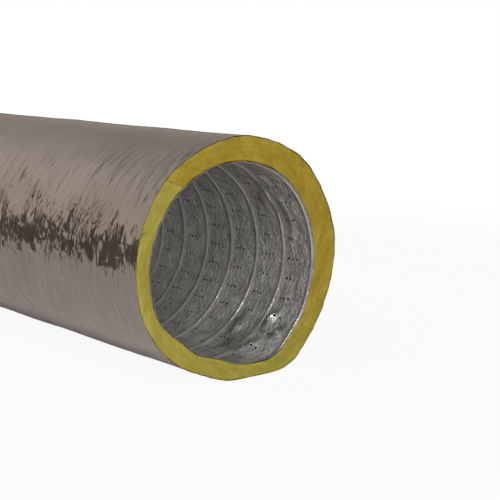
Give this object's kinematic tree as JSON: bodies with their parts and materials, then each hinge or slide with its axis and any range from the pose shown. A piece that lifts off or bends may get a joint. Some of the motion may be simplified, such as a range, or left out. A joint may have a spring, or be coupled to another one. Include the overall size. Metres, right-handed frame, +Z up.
{
  "type": "insulated flexible duct",
  "caption": "Length of insulated flexible air duct: wire-supported foil core, glass-wool blanket and crinkled metallised film jacket, open at both ends.",
  "frame": {"origin": "on the floor under the middle of the duct, halfway along it", "axes": "+Y along the duct from the near end to the far end, +Z up, +X to the right seen from the near end"},
  "size_m": [0.2526, 1, 0.2456],
  "materials": {
    "core_liner": "satin foil, crinkled, pierced with needle holes",
    "wire_helix": "drawn spring wire",
    "glass_wool_blanket": "loose glass fibre, matte",
    "outer_jacket": "metallised film, glossy and crinkled"
  },
  "bodies": {
    "root": {"core_liner": "core_liner", "wire_helix": "wire_helix", "glass_wool_blanket": "glass_wool_blanket", "outer_jacket": "outer_jacket"}
  },
  "joints": []
}
